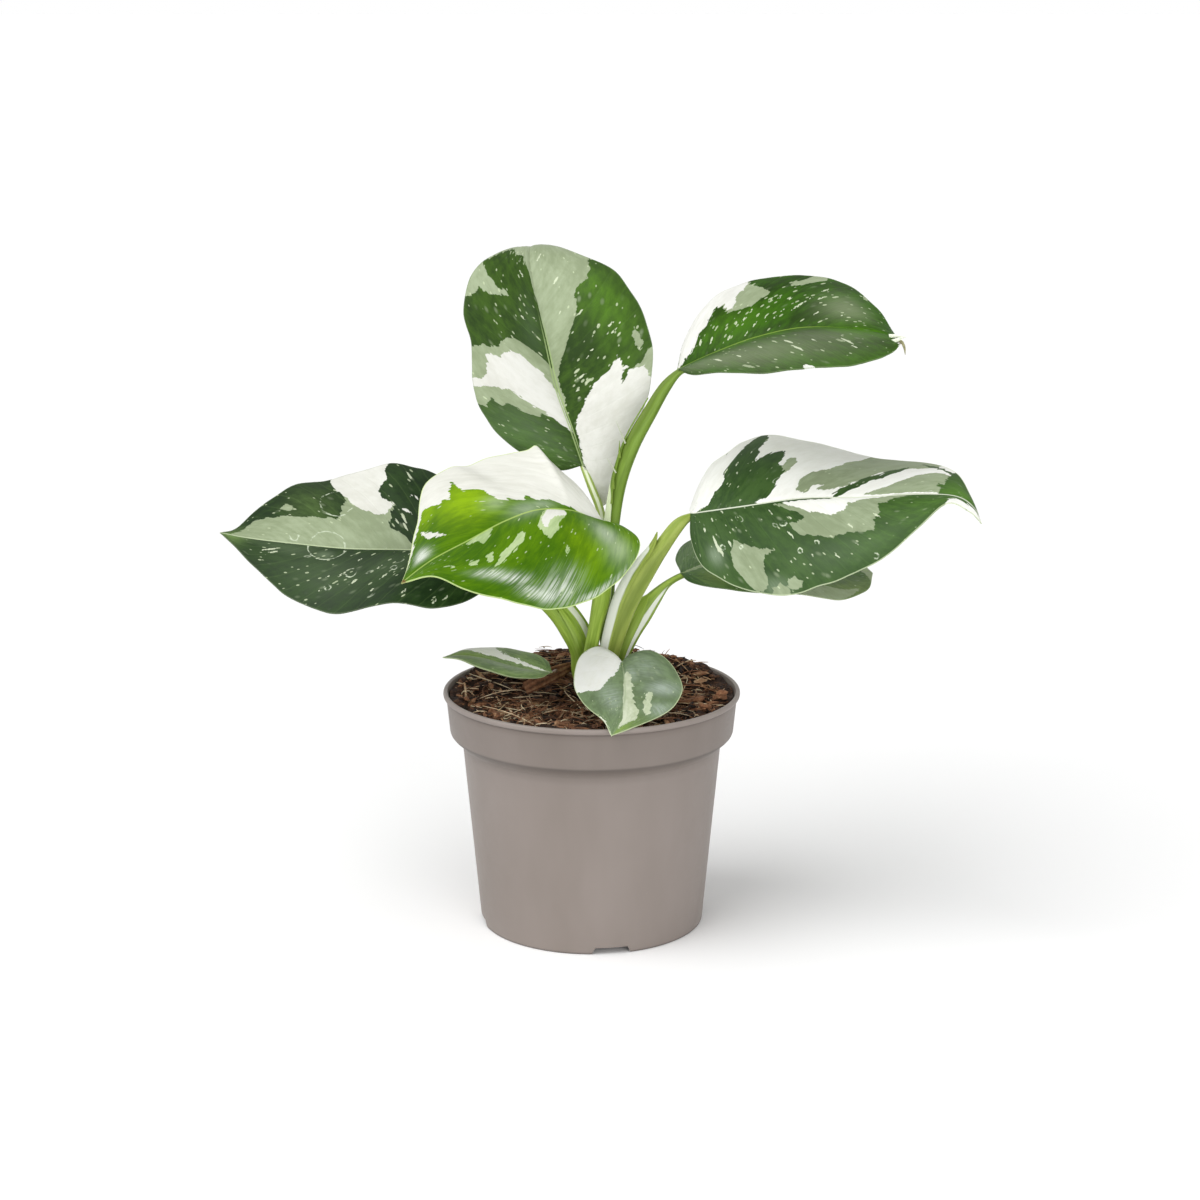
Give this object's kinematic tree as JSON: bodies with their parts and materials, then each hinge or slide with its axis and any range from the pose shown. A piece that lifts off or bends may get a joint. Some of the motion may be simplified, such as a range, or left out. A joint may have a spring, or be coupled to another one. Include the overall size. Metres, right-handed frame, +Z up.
{
  "type": "potted philodendron",
  "caption": "Young variegated philodendron with marbled green and white heart-shaped leaves, growing in a round tapered plastic nursery pot.",
  "frame": {"origin": "on the floor under the pot's axis, which is the centre of the bottom of the box round the whole plant to within 2 mm", "axes": "+Z up, +X along the reach of the two longest leaves to the viewer's right, +Y away from the viewer"},
  "size_m": [0.3014, 0.1304, 0.2706],
  "materials": {
    "pot_plastic": "moulded taupe polypropylene, satin-matt",
    "potting_mix": "coarse dark bark, coir and peat, moist and matt",
    "leaf": "smooth waxy leaf, marbled dark green, grey-green and cream white, satin sheen",
    "stem": "green stem, satin",
    "bark": "torn brown bark, matt",
    "coir": "straw-coloured fibre, matt"
  },
  "bodies": {
    "root": {"pot": "pot_plastic", "potting_mix": "potting_mix", "stem": "stem", "leaf_upper_left": "leaf", "leaf_upper_right": "leaf", "leaf_right": "leaf", "leaf_right_small": "leaf", "leaf_front_left": "leaf", "leaf_left": "leaf", "leaf_low_left": "leaf", "leaf_low_front": "leaf", "bark_chip_1": "bark", "bark_chip_2": "bark", "bark_chip_3": "bark", "bark_chip_4": "bark", "bark_chip_5": "bark", "bark_chip_6": "bark", "bark_chip_7": "bark", "bark_chip_8": "bark", "dried_sheath": "bark", "coir_fibre_1": "coir", "coir_fibre_2": "coir", "coir_fibre_3": "coir", "coir_fibre_4": "coir"}
  },
  "joints": []
}
